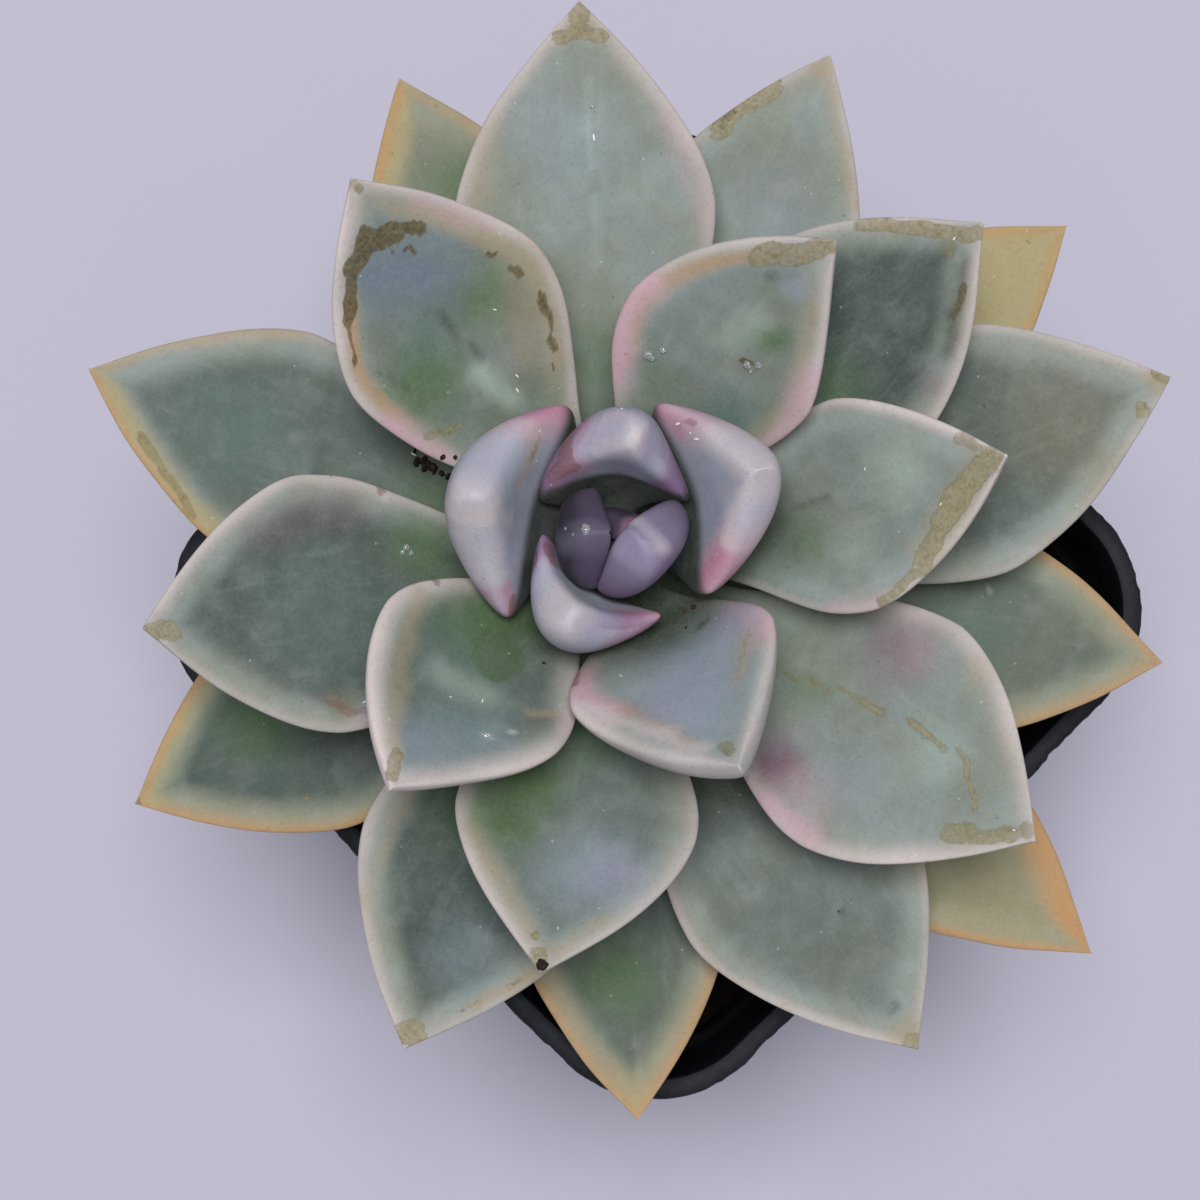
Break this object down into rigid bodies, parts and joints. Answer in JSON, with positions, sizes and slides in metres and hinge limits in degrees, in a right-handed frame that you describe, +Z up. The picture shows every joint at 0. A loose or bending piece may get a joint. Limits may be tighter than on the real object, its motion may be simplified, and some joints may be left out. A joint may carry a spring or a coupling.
{
  "type": "potted graptopetalum succulent",
  "caption": "Fleshy rosette succulent with pointed grey-green leaves, on a short bare stem in a small square black nursery pot.",
  "frame": {"origin": "middle of the flat pad under the pot, on the surface that the pot stands on", "axes": "+Z up; X and Y run along the sides of the square pot"},
  "size_m": [0.1025, 0.107, 0.112],
  "materials": {
    "pot": "thin moulded black plastic, satin, scuffed at the lip",
    "soil": "dark crumbly potting mix with grit",
    "stem": "dry brown stem ringed by the scars of fallen leaves",
    "heart": "matt mauve flesh under a powdery bloom",
    "leaf_young": "lavender-grey flesh under a thick powdery bloom, pink towards the ends",
    "leaf_grown": "grey-green flesh under a powdery bloom, with a paler rounded edge and olive stains",
    "leaf_old": "grey-green flesh turning tan and orange towards the edge and tip"
  },
  "bodies": {
    "root": {"pot": "pot", "soil": "soil", "stem": "stem", "heart": "heart", "leaf_01": "leaf_young", "leaf_02": "leaf_young", "leaf_03": "leaf_young", "leaf_04": "leaf_young", "leaf_05": "leaf_grown", "leaf_06": "leaf_grown", "leaf_07": "leaf_grown", "leaf_08": "leaf_grown", "leaf_09": "leaf_grown", "leaf_10": "leaf_grown", "leaf_11": "leaf_grown", "leaf_12": "leaf_grown", "leaf_13": "leaf_grown", "leaf_14": "leaf_grown", "leaf_15": "leaf_grown", "leaf_16": "leaf_grown", "leaf_17": "leaf_grown", "leaf_18": "leaf_grown", "leaf_19": "leaf_grown", "leaf_20": "leaf_old", "leaf_21": "leaf_old", "leaf_22": "leaf_old", "leaf_23": "leaf_old", "leaf_24": "leaf_old", "leaf_25": "leaf_old"}
  },
  "joints": []
}
